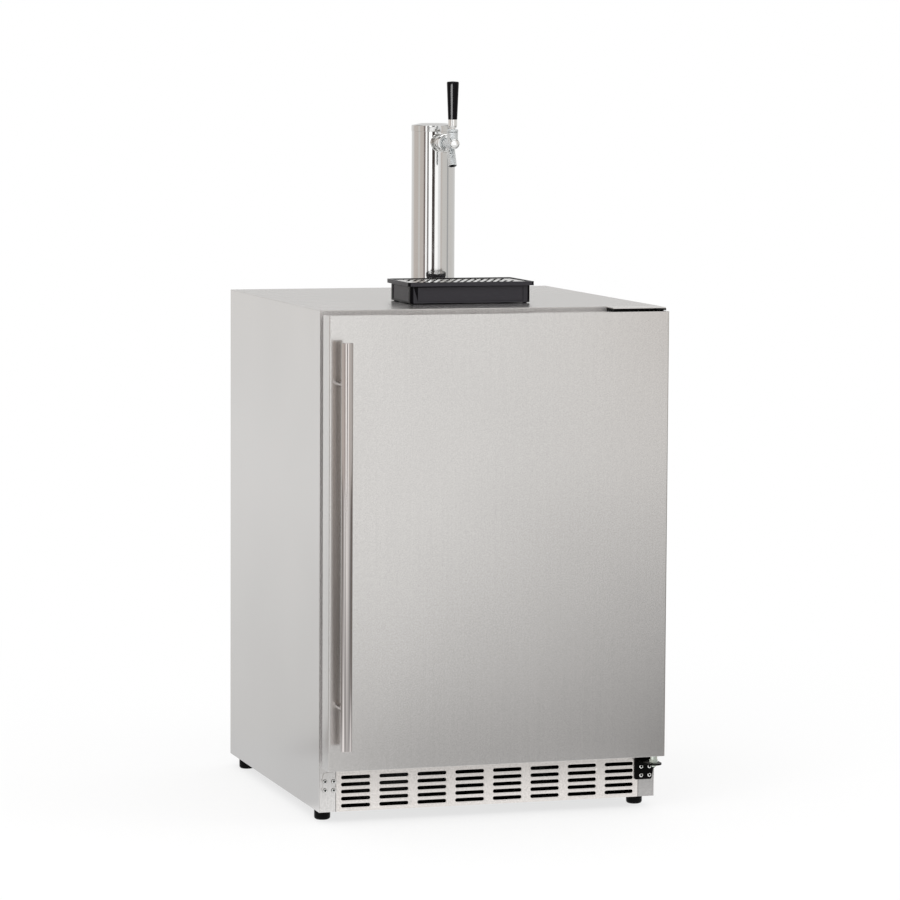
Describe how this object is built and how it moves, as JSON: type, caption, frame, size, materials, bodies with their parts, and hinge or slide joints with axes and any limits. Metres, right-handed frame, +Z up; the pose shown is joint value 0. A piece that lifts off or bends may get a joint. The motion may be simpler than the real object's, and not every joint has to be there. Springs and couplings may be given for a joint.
{
  "type": "kegerator",
  "caption": "Insulated draft beer cabinet with a hinged steel door, tap tower, lift-off drip tray, slotted kick grille and levelling feet.",
  "frame": {"origin": "middle of the bounding box's underside, on the floor", "axes": "+Z up, the door faces -Y, +X to the hinge side, which is the right seen from the front"},
  "size_m": [0.6, 0.7132, 1.2472],
  "materials": {
    "brushed_steel": "vertical and horizontal brushing, satin",
    "galvanised_steel": "dull galvanised sheet",
    "zinc": "zinc plated, semi-gloss",
    "black_steel": "black paint, satin",
    "polished_steel": "polished",
    "chrome": "polished",
    "gloss_black_plastic": "gloss",
    "matte_black_plastic": "matte",
    "white_plastic": "satin",
    "foam": "matte closed-cell foam",
    "rubber": "matte",
    "copper": "satin"
  },
  "bodies": {
    "cabinet": {"side_panel_left": "brushed_steel", "side_panel_right": "brushed_steel", "top_panel": "brushed_steel", "front_frame": "brushed_steel", "kick_grille": "brushed_steel", "corner_post_left": "brushed_steel", "corner_post_right": "brushed_steel", "hinge_blank_plate": "brushed_steel", "hinge_cover_plate": "brushed_steel", "keg_floor": "brushed_steel", "back_panel": "galvanised_steel", "bay_panel": "galvanised_steel", "rear_service_cover": "galvanised_steel", "bottom_hinge_pin": "zinc", "hinge_screws": "zinc", "cover_screws": "zinc", "shank_nut": "zinc", "bottom_hinge_bracket": "black_steel", "top_hinge_bracket": "black_steel", "compressor": "black_steel", "base_pan": "black_steel", "tower_column": "polished_steel", "tower_cap": "polished_steel", "tower_flange": "polished_steel", "tower_screws": "polished_steel", "shank": "chrome", "shank_flange": "chrome", "coupling_nut": "chrome", "faucet_body": "chrome", "faucet_cap": "chrome", "faucet_bonnet": "chrome", "fan_shroud": "matte_black_plastic", "cord_gland": "matte_black_plastic", "inner_liner": "white_plastic", "evaporator_cover": "white_plastic", "thermostat_housing": "white_plastic", "line_sleeve": "white_plastic", "insulation": "foam", "tower_gasket": "rubber", "compressor_mounts": "rubber", "condenser_coil": "copper"},
    "door": {"door_skin": "brushed_steel", "door_foam": "foam", "door_liner": "white_plastic", "door_seal": "rubber", "handle_bar": "brushed_steel", "handle_posts": "brushed_steel", "door_bushings": "matte_black_plastic"},
    "tap_lever": {"tap_lever": "chrome", "tap_handle": "gloss_black_plastic"},
    "faucet_shaft": {"faucet_shaft": "chrome"},
    "drip_tray": {"drip_tray": "gloss_black_plastic"},
    "drip_grille": {"drip_grille": "brushed_steel"},
    "condenser_fan": {"condenser_fan": "white_plastic"},
    "circulation_fan": {"circulation_fan": "white_plastic"},
    "thermostat_knob": {"thermostat_knob": "matte_black_plastic"},
    "foot_front_left": {"foot_front_left": "matte_black_plastic"},
    "foot_front_right": {"foot_front_right": "matte_black_plastic"},
    "foot_back_left": {"foot_back_left": "matte_black_plastic"},
    "foot_back_right": {"foot_back_right": "matte_black_plastic"}
  },
  "joints": [
    {"name": "door_hinge", "type": "hinge", "parent": "cabinet", "child": "door", "pos_m": [0.286, -0.2894, 0.0985], "axis": [0, 0, 1], "range_deg": [0, 110]},
    {"name": "tap_pivot", "type": "hinge", "parent": "cabinet", "child": "tap_lever", "pos_m": [0, -0.0249, 1.1558], "axis": [1, 0, 0], "range_deg": [0, 25]},
    {"name": "faucet_shaft_slide", "type": "slide", "parent": "cabinet", "child": "faucet_shaft", "axis": [0, 1, 0], "range_m": [0, 0.00698]},
    {"name": "drip_tray_lift", "type": "slide", "parent": "cabinet", "child": "drip_tray", "axis": [0, 0, 1], "range_m": [0, 0.08]},
    {"name": "drip_grille_lift", "type": "slide", "parent": "drip_tray", "child": "drip_grille", "axis": [0, 0, 1], "range_m": [0, 0.06]},
    {"name": "condenser_fan_spin", "type": "hinge", "parent": "cabinet", "child": "condenser_fan", "pos_m": [-0.11, 0.2751, 0.16075], "axis": [1, 0, 0], "continuous": true},
    {"name": "circulation_fan_spin", "type": "hinge", "parent": "cabinet", "child": "circulation_fan", "pos_m": [0, 0.2893, 0.709], "axis": [0, 1, 0], "continuous": true},
    {"name": "thermostat_turn", "type": "hinge", "parent": "cabinet", "child": "thermostat_knob", "pos_m": [0.185, -0.2234, 0.8065], "axis": [0, -1, 0], "range_deg": [0, 270]},
    {"name": "foot_front_left_screw", "type": "slide", "parent": "cabinet", "child": "foot_front_left", "axis": [0, 0, 1], "range_m": [-0.012, 0]},
    {"name": "foot_front_right_screw", "type": "slide", "parent": "cabinet", "child": "foot_front_right", "axis": [0, 0, 1], "range_m": [-0.012, 0]},
    {"name": "foot_back_left_screw", "type": "slide", "parent": "cabinet", "child": "foot_back_left", "axis": [0, 0, 1], "range_m": [-0.012, 0]},
    {"name": "foot_back_right_screw", "type": "slide", "parent": "cabinet", "child": "foot_back_right", "axis": [0, 0, 1], "range_m": [-0.012, 0]}
  ],
  "couplings": [
    {"joint": "faucet_shaft_slide", "follows": "tap_pivot", "m_per_rad": 0.01598}
  ]
}
